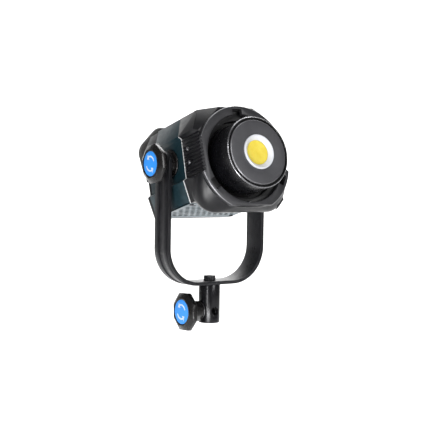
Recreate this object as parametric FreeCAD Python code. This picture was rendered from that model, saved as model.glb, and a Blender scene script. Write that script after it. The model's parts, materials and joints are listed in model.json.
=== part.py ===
import FreeCAD, Part
import math
import os

# Studio COB monolight: a lamp head that tilts in a U-shaped yoke, on a clamping stand receiver.
# Part frame: +Z up, the lamp faces -Y, +X to the right of a viewer who stands in front of it.
# Origin: centre of the stand socket's mouth, on the receiver's bottom face. Millimetres.
#
# Head pieces are drawn level, in (x, s, u): s forward along the optical axis, u up, zero at the
# tilt pivot. place_head() then turns them nose up by TILT and lifts them to the pivot.

os.makedirs("parts", exist_ok=True)
V = FreeCAD.Vector

# ---- driving dimensions -------------------------------------------------------------------
TILT = 15.8                  # nose-up angle of the stored rest pose, degrees
PIVOT_Z = 190.0              # tilt pivot above the receiver's bottom
CLEAR = 0.3                  # gap between pieces of different bodies
RUN = 0.05                   # radial clearance of a running fit

TOP_U, TOP_X = 51.0, 45.0    # body section: flat top
SIDE_U, SIDE_X = 24.5, 61.0  # lower edge of the upper chamfer
CHAN_TOP, CHAN_LOW = 21.5, -24.5
CHAN_X = 57.0                # recessed side band
LOW_U = -27.5                # upper edge of the lower side panel
BASE_U, BASE_X = -53.5, 55.0
SEAM_TOP, SEAM_SIDE, SEAM_BASE = 14.0, 28.0, 25.2    # s of the shell's front edge
REAR_TOP, REAR_SIDE, REAR_LOW = -36.0, -25.5, -50.0  # s of the shell's rear edge
REAR_END = -61.0
AXIS_U = -11.0               # optical axis below the tilt pivot

RING_R, RING_OPEN_R, RING_FLAT_U = 62.6, 52.0, -66.5
RING_S0, RING_S1 = 64.5, 69.4
SLOT_R, SLOT_W = 58.7, 13.5
SLOT_ANGLES = (92.5, 212.5, 332.5)
STEP_S = 61.5                # front face of the step behind the bayonet lugs
GAP_FLOOR = 52.0             # floor of the annular gap round the barrel
LUG_R, LUG_TURN = 57.9, 10.0 # room behind the ring for a reflector's lugs, and their turn
SLEEVE_OUT = 54.5
SLEEVE_R = 46.5
BARREL_R, BARREL_S1 = 42.1, 94.25
BEZEL_R, BEZEL_S1 = 38.1, 94.9
HOLDER_R, HOLDER_S1 = 20.2, 97.0
PHOSPHOR_R, PHOSPHOR_S = 14.3, 92.5

CORE_END = 47.0              # s where the plain body section ends inside the bulge
NOSE_X, NOSE_TOP, NOSE_LOW = 62.2, 45.0, -70.0
NOSE_CORNER = 25.0

YOKE_X, YOKE_T, YOKE_D, YOKE_R = 69.9, 4.5, 30.0, 45.0
YOKE_LOW = -143.8            # outer face of the yoke's bottom, from the pivot
RECEIVER_R = 12.9
SOCKET_R, SOCKET_DEPTH = 8.1, 40.6
UMBRELLA_R = 5.0
KNOB_Z = 14.8                # stand knob's axis above the receiver's bottom
STUD_R = 4.0
BOLT_HEAD_R, BOLT_HEAD_H = 7.15, 6.0

KNOB_R, KNOB_CAP_R = 24.0, 14.5
KNOB_DEPTH, KNOB_RIM = 10.0, 3.4
KNOB_HUB_R = 12.6
TILT_KNOB_X = -86.0          # outer face of the tilt knob
STAND_KNOB_X = -40.4

HANDLE_LEAN = 12.0           # the carry handle leans back from upright, degrees
HANDLE_S, HANDLE_U = -67.5, 4.0
HANDLE_X, HANDLE_BAR_X = 47.8, 18.9
HANDLE_KNEE, HANDLE_TOP = 36.6, 62.0
HANDLE_BASE = -5.0           # lower end of the handle's core, along its lean


# ---- drawing helpers, all in the level head frame (x, s, u) -------------------------------
def at(x, s, u):
    return V(x, -s, u)


def polygon(points):
    return Part.Face(Part.makePolygon(list(points) + [points[0]]))


def along_s(outline, s0, s1):
    """Prism of an (x, u) outline from s0 forward to s1."""
    return polygon([at(x, s0, u) for x, u in outline]).extrude(V(0, s0 - s1, 0))


def along_x(outline, x0, x1):
    """Prism of an (s, u) outline from x0 to x1."""
    return polygon([at(x0, s, u) for s, u in outline]).extrude(V(x1 - x0, 0, 0))


def block(x0, x1, s0, s1, u0, u1):
    return Part.makeBox(x1 - x0, s1 - s0, u1 - u0, at(x0, s1, u0))


def rod_s(r, s0, s1, x=0.0, u=0.0):
    return Part.makeCylinder(r, s1 - s0, at(x, s0, u), V(0, -1, 0))


def rod_x(r, x0, x1, s=0.0, u=0.0):
    return Part.makeCylinder(r, x1 - x0, at(x0, s, u), V(1, 0, 0))


def rod_u(r, u0, u1, x=0.0, s=0.0):
    return Part.makeCylinder(r, u1 - u0, at(x, s, u0), V(0, 0, 1))


def turned_s(profile, u=0.0):
    """Solid of revolution about the line x = 0, height u; profile is a list of (r, s)."""
    face = polygon([at(r, s, u) for r, s in profile])
    return face.revolve(at(0, 0, u), V(0, 1, 0), 360)


def turned_x(profile, s=0.0, u=0.0):
    """Solid of revolution about a line along x; profile is a list of (r, x)."""
    face = polygon([at(x, s, u + r) for r, x in profile])
    return face.revolve(at(0, s, u), V(1, 0, 0), 360)


def fuse(shapes):
    body = shapes[0]
    if len(shapes) > 1:
        body = body.multiFuse(shapes[1:])
    return body.removeSplitter()


def cut(shape, tools):
    for tool in tools:
        shape = shape.cut(tool)
    return shape


def mirror_x(shape):
    return shape.mirror(V(0, 0, 0), V(1, 0, 0))


def both_sides(shape):
    return Part.makeCompound([shape, mirror_x(shape)])


def mirrored(half):
    """Closed outline from its right half, listed from the top down."""
    return list(half) + [(-x, u) for x, u in reversed(half)]


def rounded_box_wire(s, half_x, top, low, r):
    """Rounded rectangle in the plane of constant s."""
    k = r * math.sqrt(0.5)
    edges = []
    corners = [(1, top, -1), (1, low, 1), (-1, low, 1), (-1, top, -1)]
    ends = []
    for i, (sx, u, su) in enumerate(corners):
        cx, cu = sx * (half_x - r), u + su * r
        on_side = at(sx * half_x, s, cu)
        on_flat = at(cx, s, u)
        middle = at(cx + sx * k, s, cu - su * k)
        pair = (on_flat, on_side) if i % 2 == 0 else (on_side, on_flat)
        edges.append(Part.Arc(pair[0], middle, pair[1]).toShape())
        ends.append(pair)
    sides = []
    for i in range(4):
        sides.append(Part.makeLine(ends[i][1], ends[(i + 1) % 4][0]))
    return Part.Wire([e for pair in zip(edges, sides) for e in pair])


def rounded_path(points, radii):
    """Wire of straight runs joined by tangent arcs at the inner points."""
    edges = []
    start = points[0]
    for i in range(1, len(points) - 1):
        p, r = points[i], radii[i - 1]
        back = (points[i - 1] - p).normalize()
        ahead = (points[i + 1] - p).normalize()
        half = back.getAngle(ahead) / 2
        reach = r / math.tan(half)
        a, b = p + back * reach, p + ahead * reach
        bisector = (back + ahead).normalize()
        middle = p + bisector * (r / math.sin(half) - r)
        edges.append(Part.makeLine(start, a))
        edges.append(Part.Arc(a, middle, b).toShape())
        start = b
    edges.append(Part.makeLine(start, points[-1]))
    return Part.Wire(edges)


def place_head(shape):
    shape = shape.copy()
    shape.rotate(V(0, 0, 0), V(1, 0, 0), -TILT)
    shape.translate(V(0, 0, PIVOT_Z))
    return shape


def save(name, shape):
    solids = shape.Solids
    out = solids[0] if len(solids) == 1 else Part.makeCompound(solids)
    out.exportStep("parts/" + name + ".step")


def save_head(name, shape):
    save(name, place_head(shape))


def save_yoke(name, shape):
    shape = shape.copy()
    shape.translate(V(0, 0, PIVOT_Z))
    save(name, shape)


# ---- body section and its divisions ------------------------------------------------------
def outer_half(grow=0.0):
    return [
        (TOP_X + grow * 0.6, TOP_U + grow),
        (SIDE_X + grow, SIDE_U + grow * 0.3),
        (CHAN_X + grow, CHAN_TOP),
        (CHAN_X + grow, CHAN_LOW),
        (SIDE_X + grow, LOW_U),
        (BASE_X + grow, BASE_U),
    ]


INNER_HALF = [(43.5, 48.5), (54.5, 30.5), (54.5, -33.0), (51.4, -49.0)]
CAP_INNER_HALF = [(42.0, 47.0), (50.3, 33.0), (50.3, -49.0)]


def shell_band():
    """Side view of the teal shell: its slanted front and rear edges."""
    return [
        (REAR_TOP, 60), (SEAM_TOP, 60), (SEAM_TOP, TOP_U), (SEAM_SIDE, SIDE_U),
        (SEAM_SIDE, CHAN_TOP), (SEAM_BASE, BASE_U), (SEAM_BASE, -60),
        (REAR_LOW, -60), (REAR_LOW, SIDE_U - 2), (REAR_SIDE, SIDE_U - 2), (REAR_SIDE, SIDE_U),
        (REAR_TOP, TOP_U),
    ]


def front_band():
    """Side view of everything in front of the seam."""
    return [
        (SEAM_TOP, 70), (SEAM_TOP, TOP_U), (SEAM_SIDE, SIDE_U), (SEAM_SIDE, CHAN_TOP),
        (SEAM_BASE, BASE_U), (SEAM_BASE, -80), (80, -80), (80, 70),
    ]


def rear_band(gap):
    """Side view of everything behind the shell, gap short of it."""
    return [
        (REAR_TOP - gap, 60), (REAR_TOP - gap, TOP_U), (REAR_SIDE - gap, SIDE_U),
        (REAR_SIDE - gap, SIDE_U - 2 + gap), (REAR_LOW - gap, SIDE_U - 2 + gap),
        (REAR_LOW - gap, -60), (-90, -60), (-90, 60),
    ]


def side_channel(depth_x, s0, s1):
    """The recess along one side, from s0 to s1, cut down to depth_x."""
    lip = SIDE_X - CHAN_X
    outline = [
        (depth_x, CHAN_TOP), (CHAN_X, CHAN_TOP), (CHAN_X + 3 * lip, CHAN_TOP + 9),
        (CHAN_X + 3 * lip, CHAN_LOW - 9), (CHAN_X, CHAN_LOW), (depth_x, CHAN_LOW),
    ]
    return along_s(outline, s0, s1)


# ---- head: shell, grille, rear cap -------------------------------------------------------
GRILLE_T = 2.0
INSERT_R = 6.0
PIVOT_TIP_X = 51.5           # inner ends of the pivot bolt and of the tilt knob's stud


def make_body_shell():
    solid = along_s(mirrored(outer_half()), -60, 40)
    hollow = along_s(mirrored(INNER_HALF), -61, 41)
    shell = solid.cut(hollow).common(along_x(shell_band(), -80, 80))
    below = block(-70, 70, -70, 50, BASE_U - 5, BASE_U + GRILLE_T)
    window = block(-46, 46, -46, 21, BASE_U - 5, -40)
    holes = [rod_x(INSERT_R, -80, 80)]
    holes += [rod_u(1.6, BASE_U, -40, x, s) for x, s in GRILLE_SCREWS]
    return cut(shell, [below, window] + holes)


def oval_u(x, s, u0, u1, long_half, r):
    a = rod_u(r, u0, u1, x - long_half, s)
    b = rod_u(r, u0, u1, x + long_half, s)
    return fuse([a, b, block(x - long_half, x + long_half, s - r, s + r, u0, u1)])


GRILLE_PITCH_X, GRILLE_PITCH_S = 8.4, 7.2


def make_bottom_grille():
    edge = BASE_X - 0.7
    plate = block(-edge, edge, REAR_LOW + 0.4, SEAM_BASE - 0.4, BASE_U, BASE_U + GRILLE_T)
    holes = []
    for row in range(8):
        count = 12 if row % 2 == 0 else 11
        s = -37.5 + row * GRILLE_PITCH_S
        for i in range(count):
            x = (i - (count - 1) / 2) * GRILLE_PITCH_X
            holes.append(oval_u(x, s, BASE_U - 1, BASE_U + GRILLE_T + 1, 1.1, 1.7))
    for x, s in GRILLE_SCREWS:
        holes.append(rod_u(1.6, BASE_U - 1, BASE_U + GRILLE_T + 1, x, s))
    return plate.cut(Part.makeCompound(holes))


GRILLE_SCREWS = [(x, s) for x in (-49.2, 49.2) for s in (-43.0, 19.0)]


def pan_screw(direction, head_at, head_r, head_h, shank_r, length):
    """Screw with a domed head and a cross slot; head_at is the head's seat."""
    head = Part.makeCylinder(head_r, head_h, head_at, direction)
    rim = [e for e in head.Edges if e.Curve.TypeId == "Part::GeomCircle"]
    tip = head_at + direction * head_h
    rim = [e for e in rim if abs((e.Curve.Center - tip).Length) < 1e-6]
    head = head.makeFillet(head_h * 0.55, rim)
    slots = []
    for turn in (0, 90):
        slot = Part.makeBox(head_r * 1.1, head_r * 0.24, head_h, V(-head_r * 0.55, -head_r * 0.12, 0))
        slot.Placement = FreeCAD.Placement(V(0, 0, 0), FreeCAD.Rotation(V(0, 0, 1), turn))
        slots.append(slot)
    cross = slots[0].fuse(slots[1])
    turn = FreeCAD.Rotation(V(0, 0, 1), direction)
    cross.Placement = FreeCAD.Placement(head_at + direction * (head_h * 0.55), turn)
    shank = Part.makeCylinder(shank_r, length, head_at - direction * length, direction)
    return head.cut(cross).fuse(shank)


def make_rear_cap():
    inset = 1.2
    half = [(x - inset * 0.6, u - inset if u > 0 else u + inset * 0.3) for x, u in outer_half()]
    flat = REAR_END + 5
    solid = along_s(mirrored(half), flat, 20)
    small = [(x * 0.9, u * 0.9) for x, u in half]
    front = Part.Wire(Part.makePolygon([at(x, flat, u) for x, u in mirrored(half) + [half[0]]]))
    back = Part.Wire(Part.makePolygon([at(x, REAR_END, u) for x, u in mirrored(small) + [small[0]]]))
    solid = solid.fuse(Part.makeLoft([back, front], True, True))
    hollow = along_s(mirrored(CAP_INNER_HALF), REAR_END + 3, 41)
    s, u = handle_screw_at()
    x1 = HANDLE_X - 1.75
    side = [(REAR_END + 1, u - 9), (s - 5, u - 5), (s - 5, u + 4.5), (REAR_END + 1, u + 4.5)]
    boss = along_x(side, x1 - 5, x1)
    solid = solid.cut(hollow).common(along_x(rear_band(CLEAR), -80, 80))
    cap = fuse([solid, boss, mirror_x(boss)])
    px, p0, p1 = PANEL_X, PANEL_U0, PANEL_U1
    pocket = block(-px - 0.2, px + 0.2, REAR_END - 1, REAR_END + 4, p0 - 0.2, p1 + 0.2)
    inlet = rod_s(INLET_R, REAR_END - 1, REAR_END + 8, INLET_X, LOWER_U)
    rocker = block(SWITCH_X - 11, SWITCH_X + 11, REAR_END - 1, REAR_END + 8, LOWER_U - 7, LOWER_U + 7)
    vents = [block(-34, 34, s - 0.9, s + 0.9, 40, 60) for s in (-41.0, -45.0, -49.0, -53.0)]
    drills = [rod_s(1.4, REAR_END - 1, REAR_END + 4, x, u) for x, u in REAR_SCREWS]
    drills.append(rod_x(2.0, -80, 80, s, u))
    return cut(cap, [pocket, inlet, rocker] + vents + drills)


# ---- rear controls -----------------------------------------------------------------------
PANEL_X, PANEL_U0, PANEL_U1 = 39.6, -20.0, 38.0
PANEL_S = REAR_END
LOWER_U = -34.0
INLET_X, INLET_R = -22.0, 8.6
SWITCH_X = 22.0
DIAL_R, DIAL_U, DIAL_X = 8.5, -7.0, 26.0
BUTTON_U = -7.0
BUTTONS = {"button_mode": -9.0, "button_effect": 0.0, "button_fan": 9.0}
BUTTON_TRAVEL = 0.8


def make_control_panel():
    panel = block(-PANEL_X, PANEL_X, PANEL_S - 0.6, PANEL_S + 2.8, PANEL_U0, PANEL_U1)
    window = block(-25, 25, PANEL_S - 1, PANEL_S + 0.9, 8, 34)
    tools = [window]
    for x in (-DIAL_X, DIAL_X):
        tools.append(rod_s(3.0 + RUN, PANEL_S - 1, PANEL_S + 3, x, DIAL_U))
    for x in BUTTONS.values():
        tools.append(rod_s(3.0 + CLEAR, PANEL_S - 1, PANEL_S + 3, x, BUTTON_U))
    return cut(panel, tools)


def make_display():
    return block(-25, 25, PANEL_S - 0.4, PANEL_S + 0.9, 8, 34)


def make_dial(x):
    front = PANEL_S - 0.9
    body = rod_s(DIAL_R, front - 8.6, front, x, DIAL_U)
    rim = [e for e in body.Edges if e.Curve.TypeId == "Part::GeomCircle"]
    rim = [e for e in rim if abs(e.Curve.Center.y - (8.6 - front)) < 1e-6]
    body = body.makeChamfer(0.9, rim)
    grooves = []
    for i in range(24):
        a = math.radians(i * 15)
        gx, gu = x + DIAL_R * math.cos(a), DIAL_U + DIAL_R * math.sin(a)
        grooves.append(rod_s(0.55, front - 9, front - 1.4, gx, gu))
    mark = block(x - 0.5, x + 0.5, front - 9, front - 8.2, DIAL_U + 3, DIAL_U + 7.2)
    shaft = rod_s(3.0, front - 1, PANEL_S + 4.5, x, DIAL_U)
    return cut(body, [Part.makeCompound(grooves), mark]).fuse(shaft)


def make_button(x):
    cap = rod_s(3.0, PANEL_S - 2.2, PANEL_S + 3.2, x, BUTTON_U)
    rim = [e for e in cap.Edges if e.Curve.TypeId == "Part::GeomCircle"]
    rim = [e for e in rim if abs(e.Curve.Center.y - (2.2 - PANEL_S)) < 1e-6]
    return cap.makeFillet(0.6, rim)


def make_control_board():
    s0 = PANEL_S + 5.2
    board = block(-38, 38, s0, s0 + 1.6, -19, 37)
    chips = [block(-14, -4, s0 + 1.6, s0 + 3.2, 10, 20), block(6, 20, s0 + 1.6, s0 + 3.0, 14, 22)]
    return fuse([board] + chips)


def make_power_inlet():
    s0 = REAR_END - 1.4
    flange = rod_s(11.4, s0, REAR_END, INLET_X, LOWER_U)
    shell = rod_s(INLET_R, s0, REAR_END + 9, INLET_X, LOWER_U)
    cavity = rod_s(6.6, s0 - 1, REAR_END + 7, INLET_X, LOWER_U)
    return fuse([flange, shell]).cut(cavity)


def make_inlet_pins():
    pins = []
    for i in range(4):
        a = math.radians(45 + 90 * i)
        x, u = INLET_X + 3.0 * math.cos(a), LOWER_U + 3.0 * math.sin(a)
        pins.append(rod_s(0.75, REAR_END + 1.5, REAR_END + 7, x, u))
    return Part.makeCompound(pins)


SWITCH_AXIS_S = REAR_END + 3.0


def make_switch_frame():
    frame = block(SWITCH_X - 12.4, SWITCH_X + 12.4, REAR_END - 1.2, REAR_END, LOWER_U - 8.4, LOWER_U + 8.4)
    body = block(SWITCH_X - 11, SWITCH_X + 11, REAR_END - 1, REAR_END + 12, LOWER_U - 7, LOWER_U + 7)
    well = block(SWITCH_X - 9.6, SWITCH_X + 9.6, REAR_END - 2, REAR_END + 8, LOWER_U - 5.6, LOWER_U + 5.6)
    return frame.fuse(body).cut(well)


def make_rocker():
    """Rocker cap, drawn in its off position, tipped about a vertical line at its middle."""
    w, h, s = 9.0, 5.2, SWITCH_AXIS_S
    outline = [(-w, -5.4), (0, -3.9), (w, -5.4), (w * 0.8, 1.2), (-w * 0.8, 1.2)]
    face = polygon([V(x, -d, -h) for x, d in outline])
    cap = face.extrude(V(0, 0, 2 * h))
    cap.rotate(V(0, 0, 0), V(0, 0, 1), 7)
    cap.translate(at(SWITCH_X, s, LOWER_U))
    return cap


REAR_SCREWS = [(-44.5, -42.5), (44.5, -42.5), (-35.0, 41.2), (35.0, 41.2)]


def make_rear_screws():
    return [pan_screw(V(0, 1, 0), at(x, REAR_END, u), 2.6, 1.5, 1.4, 2.5) for x, u in REAR_SCREWS]


# ---- carry handle ------------------------------------------------------------------------
def handle_point(x, h):
    lean = math.radians(HANDLE_LEAN)
    return at(x, HANDLE_S - h * math.sin(lean), HANDLE_U + h * math.cos(lean))


def swept_strap(points, radii, thick, deep, r):
    """Strap of rounded rectangular section along a path in the handle's leaning plane."""
    path = rounded_path(points, radii)
    lean = math.radians(HANDLE_LEAN)
    across = V(0, math.cos(lean), math.sin(lean))
    side = V(1, 0, 0)
    start = points[0]
    ht, hd = thick / 2, deep / 2

    def p(a, b):
        return start + side * a + across * b

    k = r * (1 - math.sqrt(0.5))
    corners = [(1, 1), (1, -1), (-1, -1), (-1, 1)]
    edges = []
    pairs = []
    for i, (sa, sb) in enumerate(corners):
        on_a = p(sa * ht, sb * (hd - r))
        on_b = p(sa * (ht - r), sb * hd)
        mid = p(sa * (ht - k), sb * (hd - k))
        first, last = (on_b, on_a) if i % 2 == 0 else (on_a, on_b)
        pairs.append((first, last))
        edges.append(Part.Arc(first, mid, last).toShape())
    lines = [Part.makeLine(pairs[i][1], pairs[(i + 1) % 4][0]) for i in range(4)]
    section = Part.Wire([e for pair in zip(edges, lines) for e in pair])
    return Part.Wire(path).makePipeShell([section], True, False)


def handle_path(h0):
    right = [handle_point(HANDLE_X, h0), handle_point(HANDLE_X, HANDLE_KNEE)]
    right.append(handle_point(HANDLE_BAR_X, HANDLE_TOP))
    return right + [mirror_point(q) for q in reversed(right)]


def mirror_point(q):
    return V(-q.x, q.y, q.z)


HANDLE_BENDS = [22, 13, 13, 22]


def make_handle_strap():
    return swept_strap(handle_path(HANDLE_BASE), HANDLE_BENDS, 3.4, 11.0, 1.0)


def make_handle_core():
    return make_handle_strap().cut(rod_x(2.0, -80, 80, *handle_screw_at()))


def make_handle_grip():
    grip = swept_strap(handle_path(7.0), HANDLE_BENDS, 7.8, 12.6, 3.2)
    return grip.cut(make_handle_strap())


def handle_screw_at():
    q = handle_point(0, 0)
    return (-q.y, q.z)


def make_handle_screws():
    s, u = handle_screw_at()
    screw = pan_screw(V(1, 0, 0), at(HANDLE_X + 1.7, s, u), 3.6, 1.6, 2.0, 5.0)
    return both_sides(screw)


# ---- front housing, mount ring and gap ---------------------------------------------------
CHIN_SECTIONS = [             # s, half width, bottom, corner radius of the bulge under the ring
    (26.0, 53.5, -52.8, 12.0), (36.0, 58.0, -64.0, 20.0), (46.0, 60.8, NOSE_LOW, NOSE_CORNER),
    (56.0, NOSE_X, -69.6, 35.0), (RING_S0, 61.9, -67.4, 50.0),
]
FACET_TOP, FACET_SIDE = 50.0, 60.0    # s where the front facet leaves the top and side edges


def make_chin():
    """Rounded bulge that carries the ring's lower half, below the side channels."""
    wires = [rounded_box_wire(s, half_x, NOSE_TOP, low, r) for s, half_x, low, r in CHIN_SECTIONS]
    return Part.makeLoft(wires, True, False).common(block(-80, 80, 0, 80, -90, CHAN_LOW))


def facet_wedge():
    """What the slanted facet between the right-hand chamfer and the ring takes away."""
    a, b = at(TOP_X, FACET_TOP, TOP_U), at(SIDE_X, FACET_SIDE, SIDE_U)
    rim = at(RING_R * math.sqrt(0.5), RING_S0, AXIS_U + RING_R * math.sqrt(0.5))
    normal = (rim - a).cross(b - a)
    if normal.x < 0:
        normal = normal * -1
    wedge = Part.makeBox(160, 160, 60, V(-80, -80, 0))
    wedge.Placement = FreeCAD.Placement(a, FreeCAD.Rotation(V(0, 0, 1), normal))
    return wedge


def make_front_housing(trim):
    section = mirrored(outer_half())
    wedge = facet_wedge()
    upper = along_s(section, 0, RING_S0).common(block(-80, 80, 0, 80, CHAN_LOW, 80))
    upper = cut(upper, [wedge, mirror_x(wedge)])
    lower = along_s(section, 0, CORE_END)
    solid = upper.multiFuse([lower, make_chin()]).common(along_x(front_band(), -90, 90))
    hollow = along_s(mirrored(INNER_HALF), -1, 40)
    channel = side_channel(CHAN_X - 1.5, SEAM_SIDE + 1.4, 70)
    tools = [hollow, channel, mirror_x(channel), lug_pockets()]
    tools.append(rod_s(BARREL_R + 0.2, 30, 60, 0, AXIS_U))
    tools.append(rod_s(SLEEVE_R + 4.7, GAP_FLOOR - 3.2, 60, 0, AXIS_U))
    tools.append(rod_s(SLEEVE_OUT + 0.1, STEP_S - 5, 70, 0, AXIS_U))
    for x, u in ring_screw_places():
        tools.append(rod_s(2.5, 39, RING_SCREW_S, x, u))
        tools.append(rod_s(1.3, 39, 70, x, u))
    tools.append(corner_block(17.5, 40.0, 7.4, SLIDER_S0 - SLIDER_TRAVEL - 0.5, SLIDER_S1 + 0.5))
    tools.append(rod_s(PIN_R + CLEAR, PIN_S0 - PIN_TRAVEL - 0.5, 70, 0, PIN_U))
    return cut(solid, tools).cut(trim)


def make_seam_trim():
    strips = []
    half = outer_half()[1:]
    w = 1.1
    band = along_x([
        (SEAM_SIDE, SIDE_U), (SEAM_SIDE + w, SIDE_U), (SEAM_SIDE + w, CHAN_TOP), (SEAM_BASE + w, BASE_U),
        (SEAM_BASE, BASE_U), (SEAM_SIDE, CHAN_TOP)], 40, 80)
    outline = [(x + 0.35, u) for x, u in half] + [(x - 1.2, u) for x, u in reversed(half)]
    strips.append(along_s(outline, 20, 35).common(band))
    strips.append(mirror_x(strips[0]))
    return Part.makeCompound(strips)


RIBS, RIB_W, RIB_H = 11, 2.2, 1.2
RIB_SCREWS = [(38.5, 7.5), (38.5, -8.5)]


def ribs_along(s0, s1):
    """The side panel's ribs, tapered towards their tops, from s0 forward to s1."""
    pitch = (CHAN_TOP - CHAN_LOW - 1.4) / RIBS
    foot, top = RIB_W / 2, RIB_W / 2 - 0.6
    ribs = []
    for i in range(RIBS):
        u = CHAN_LOW + 0.7 + pitch * (i + 0.5)
        outline = [
            (CHAN_X - 0.1, u - foot), (CHAN_X + RIB_H, u - top),
            (CHAN_X + RIB_H, u + top), (CHAN_X - 0.1, u + foot),
        ]
        ribs.append(along_s(outline, s0, s1))
    return ribs


def make_rib_panel():
    s0, s1 = SEAM_SIDE + 1.6, RING_S0 - 0.1
    plate = block(CHAN_X - 1.4, CHAN_X, s0, s1, CHAN_LOW + 0.3, CHAN_TOP - 0.3)
    ribs = ribs_along(s0, s1)
    seats = [rod_x(2.9, CHAN_X, CHAN_X + 3, s, u) for s, u in RIB_SCREWS]
    holes = [rod_x(1.5, CHAN_X - 3, CHAN_X + 3, s, u) for s, u in RIB_SCREWS]
    return cut(fuse([plate] + ribs), seats + holes)


def make_rib_screws():
    screws = []
    for s, u in RIB_SCREWS:
        screws.append(pan_screw(V(1, 0, 0), at(CHAN_X, s, u), 2.3, 1.5, 1.5, 1.35))
    right = Part.makeCompound(screws)
    return both_sides(right)


def make_mount_ring():
    r, s0, s1 = RING_R, RING_S0, RING_S1
    ring = turned_s([
        (RING_OPEN_R, s0), (r, s0), (r, s1 - 1.0), (r - 1.0, s1),
        (RING_OPEN_R + 0.6, s1), (RING_OPEN_R, s1 - 0.6),
    ], AXIS_U)
    flat = block(-80, 80, s0 - 1, s1 + 1, -90, RING_FLAT_U)
    channel = side_channel(CHAN_X, s0 - 1, s1 + 1)
    tools = [flat, channel, mirror_x(channel)]
    for angle in SLOT_ANGLES:
        slot = block(0, SLOT_R, s0 - 1, s1 + 1, -SLOT_W / 2, SLOT_W / 2)
        slot.rotate(V(0, 0, 0), V(0, 1, 0), -angle)
        slot.translate(V(0, 0, AXIS_U))
        tools.append(slot)
    tools.append(rod_s(PIN_R + RUN, s0 - 1, s1 + 1, 0, PIN_U))
    for x, u in ring_screw_places():
        tools.append(rod_s(1.3, s0 - 1, s0 + 3.2, x, u))
    hold = rod_s(r, s0, s1, 0, AXIS_U)
    ribs = [rib.common(hold) for rib in ribs_along(s0, s1 - 0.5)]
    ribs = [rib for rib in ribs if rib.Volume > 1.0]
    return fuse([cut(ring, tools)] + ribs + [mirror_x(rib) for rib in ribs])


RING_SCREW_S = 59.0


def ring_screw_places():
    places = []
    for angle in (45, 152, 222, 318):
        a = math.radians(angle)
        places.append((57.4 * math.cos(a), AXIS_U + 57.4 * math.sin(a)))
    return places


def make_ring_screws():
    s, length = RING_SCREW_S, RING_S0 + 3.0 - RING_SCREW_S
    return [pan_screw(V(0, 1, 0), at(x, s, u), 2.3, 1.4, 1.3, length) for x, u in ring_screw_places()]


PIN_R, PIN_U = 1.5, AXIS_U - 51.2
PIN_S0, PIN_S1 = 56.5, 65.5
PIN_TRAVEL = 3.6


def make_gap_sleeve():
    r_out = SLEEVE_R + 4.6
    profile = [
        (BARREL_R + 0.1, GAP_FLOOR - 3), (r_out, GAP_FLOOR - 3),
        (r_out, STEP_S - 5), (SLEEVE_OUT, STEP_S - 5),
        (SLEEVE_OUT, RING_S0 - 0.05), (SLEEVE_OUT - 0.8, RING_S0 - 0.05), (SLEEVE_OUT - 0.8, STEP_S),
        (SLEEVE_R, STEP_S), (SLEEVE_R, GAP_FLOOR), (BARREL_R + 0.1, GAP_FLOOR),
    ]
    sleeve = turned_s(profile, AXIS_U)
    pin_way = rod_s(PIN_R + CLEAR, PIN_S0 - PIN_TRAVEL - 0.5, RING_S0 + 1, 0, PIN_U)
    return cut(sleeve, [pin_way, lug_pockets()])


def lug_pockets():
    """Room behind the ring where the three lugs of a reflector turn."""
    half_slot = math.degrees(math.asin(SLOT_W / 2 / SLOT_R))
    ring = rod_s(LUG_R, STEP_S, RING_S0, 0, AXIS_U)
    ring = ring.cut(rod_s(SLEEVE_R, STEP_S - 1, RING_S0 + 1, 0, AXIS_U))
    pockets = []
    for angle in SLOT_ANGLES:
        a0, a1 = math.radians(angle + half_slot), math.radians(angle - half_slot - LUG_TURN)
        far = 2 * LUG_R
        wedge = along_s([
            (0, AXIS_U), (far * math.cos(a0), AXIS_U + far * math.sin(a0)),
            (far * math.cos(a1), AXIS_U + far * math.sin(a1))], STEP_S, RING_S0)
        pockets.append(ring.common(wedge))
    return Part.makeCompound(pockets)


SLIDER_S0, SLIDER_S1 = 47.0, 56.0
SLIDER_TRAVEL = 4.0
SLIDER_R0, SLIDER_SLOPE = 24.4, 0.34  # face at the rear end, and its fall towards the ring


def to_corner(slab):
    """Slab drawn under zero, turned and moved to the nose's lower right corner."""
    slab.rotate(V(0, 0, 0), V(0, 1, 0), -45)
    slab.translate(V(NOSE_X - NOSE_CORNER, 0, NOSE_LOW + NOSE_CORNER))
    return slab


def slider_top(s):
    """How far out the slider's sloping face lies at s."""
    return SLIDER_R0 - (s - SLIDER_S0) * SLIDER_SLOPE


def corner_block(r0, r1, half_w, s0, s1):
    """Block across the nose's lower right corner, r0 to r1 out from the corner's centre."""
    return to_corner(block(-half_w, half_w, s0, s1, -r1, -r0))


def make_release_slider():
    slab = corner_block(18.0, slider_top(SLIDER_S0), 6.6, SLIDER_S0, SLIDER_S1)
    slope = [(SLIDER_S0, -slider_top(SLIDER_S0)), (SLIDER_S1, -slider_top(SLIDER_S1)), (SLIDER_S1, -30)]
    slab = slab.cut(to_corner(along_x(slope, -10, 10)))
    ridges = []
    for i in range(4):
        s = SLIDER_S0 + 0.8 + 2.0 * i
        ridges.append(corner_block(slider_top(s) - 1.0, slider_top(s) + 0.9, 6.6, s, s + 1.0))
    return fuse([slab] + ridges)


def make_lock_pin():
    pin = rod_s(PIN_R, PIN_S0, PIN_S1, 0, PIN_U)
    tip = [e for e in pin.Edges if e.Curve.TypeId == "Part::GeomCircle"]
    tip = [e for e in tip if abs(e.Curve.Center.y + PIN_S1) < 1e-6]
    return pin.makeFillet(0.8, tip)


# ---- light engine ------------------------------------------------------------------------
BASE_S0, BASE_S1 = 80.0, 90.4
COB_S = 91.9
FIN_S0, FIN_S1 = -20.0, 36.0
FIN_U0, FIN_U1 = -33.0, 33.0
FIN_X = 49.8
PIPES = [(x, u) for x in (-24.0, 0.0, 24.0) for u in (-22.0, 0.0)]
PIPE_R = 3.0


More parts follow.
